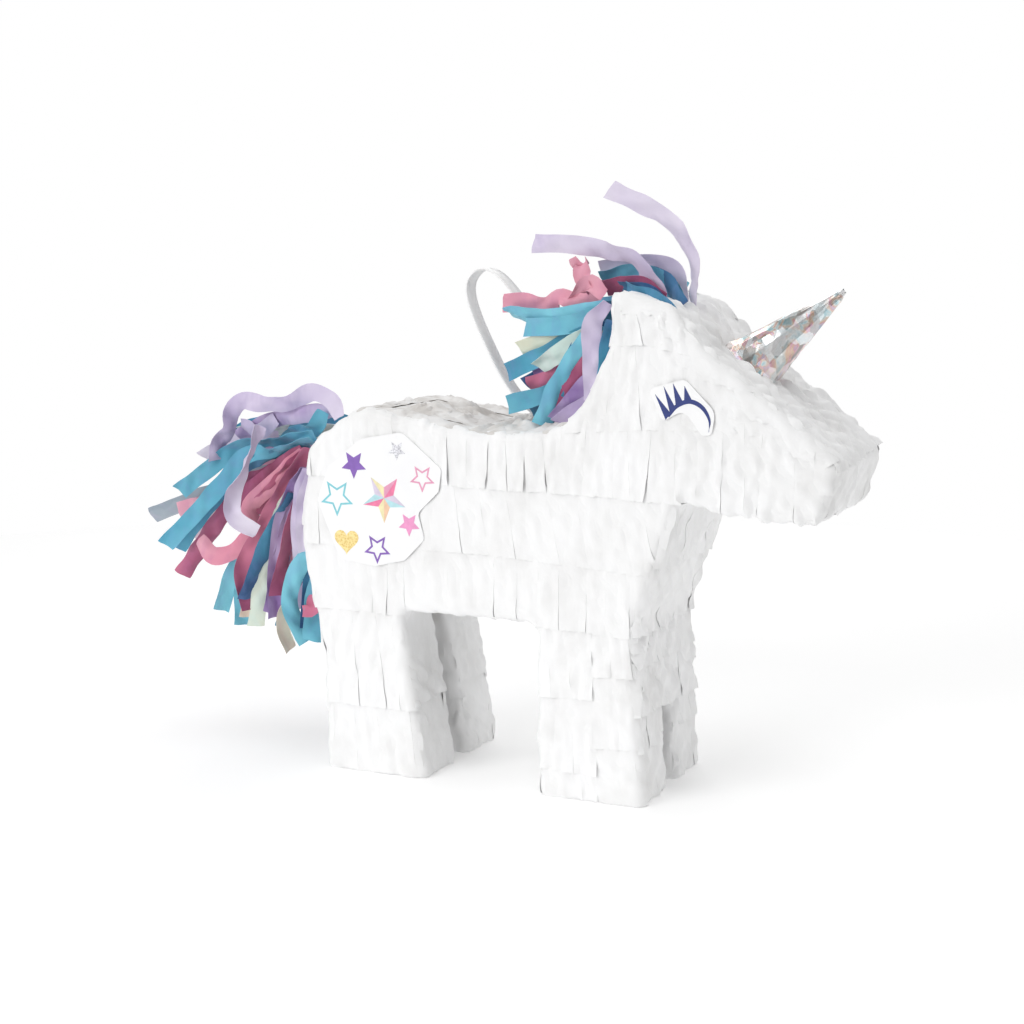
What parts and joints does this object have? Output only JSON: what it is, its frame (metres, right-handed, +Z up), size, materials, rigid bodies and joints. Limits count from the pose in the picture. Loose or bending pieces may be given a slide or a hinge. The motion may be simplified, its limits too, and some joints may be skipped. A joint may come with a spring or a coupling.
{
  "type": "animal pinata",
  "caption": "Small unicorn pinata of card and fringed white tissue, with tissue strip mane and tail, foil cone horn, ribbon hanging loop and filling flap in its back.",
  "frame": {"origin": "on the floor under the middle of the whole part's length and width", "axes": "+X forward along the body to the nose, +Y to the unicorn's left, +Z up"},
  "size_m": [0.2332, 0.0508, 0.173],
  "materials": {
    "card": "plain brown board",
    "tissue": "matte white crepe tissue, wrinkled and slit",
    "sticker": "smooth white printed label paper",
    "foil": "crumpled metallised film with a rainbow sheen",
    "ribbon": "white satin ribbon",
    "strip_blue": "soft matte blue tissue",
    "strip_lilac": "soft matte lilac tissue",
    "strip_pink": "soft matte pink tissue",
    "strip_pearl": "pearly iridescent film"
  },
  "bodies": {
    "body": {"right_side_panel": "card", "left_side_panel": "card", "back_strip": "card", "neck_strip": "card", "face_strip": "card", "muzzle_strip": "card", "jaw_strip": "card", "chest_strip": "card", "rump_strip": "card", "belly_strip": "card", "belly_floor": "card", "front_right_leg_box": "card", "front_left_leg_box": "card", "hind_right_leg_box": "card", "hind_left_leg_box": "card", "ribbon_anchor": "card", "right_low_row": "tissue", "right_middle_row": "tissue", "right_high_row": "tissue", "right_cheek_row": "tissue", "right_neck_row": "tissue", "right_crown_row": "tissue", "left_low_row": "tissue", "left_middle_row": "tissue", "left_high_row": "tissue", "left_cheek_row": "tissue", "left_neck_row": "tissue", "left_crown_row": "tissue", "front_right_leg_tissue": "tissue", "front_left_leg_tissue": "tissue", "hind_right_leg_tissue": "tissue", "hind_left_leg_tissue": "tissue", "back_tissue": "tissue", "nape_tissue": "tissue", "face_tissue": "tissue", "muzzle_tissue": "tissue", "jaw_tissue": "tissue", "chest_tissue": "tissue", "rump_tissue": "tissue", "belly_tissue": "tissue", "horn_core": "card", "horn_foil": "foil", "right_eye_sticker": "sticker", "left_eye_sticker": "sticker", "right_hip_sticker": "sticker", "left_hip_sticker": "sticker", "mane_blue": "strip_blue", "mane_lilac": "strip_lilac", "mane_pink": "strip_pink", "mane_pearl": "strip_pearl", "tail_blue": "strip_blue", "tail_lilac": "strip_lilac", "tail_pink": "strip_pink", "tail_pearl": "strip_pearl"},
    "flap": {"filling_flap": "card", "flap_tissue": "tissue"},
    "ribbon": {"hanging_ribbon": "ribbon"}
  },
  "joints": [
    {"name": "flap_hinge", "type": "hinge", "parent": "body", "child": "flap", "pos_m": [-0.01796, 0, 0.10724], "axis": [0, -1, 0], "range_deg": [0, 110]},
    {"name": "ribbon_swing", "type": "hinge", "parent": "body", "child": "ribbon", "pos_m": [0.02604, 0, 0.1035], "axis": [0, -1, 0], "range_deg": [-12, 15], "stiffness_Nm_per_rad": 0.001}
  ]
}
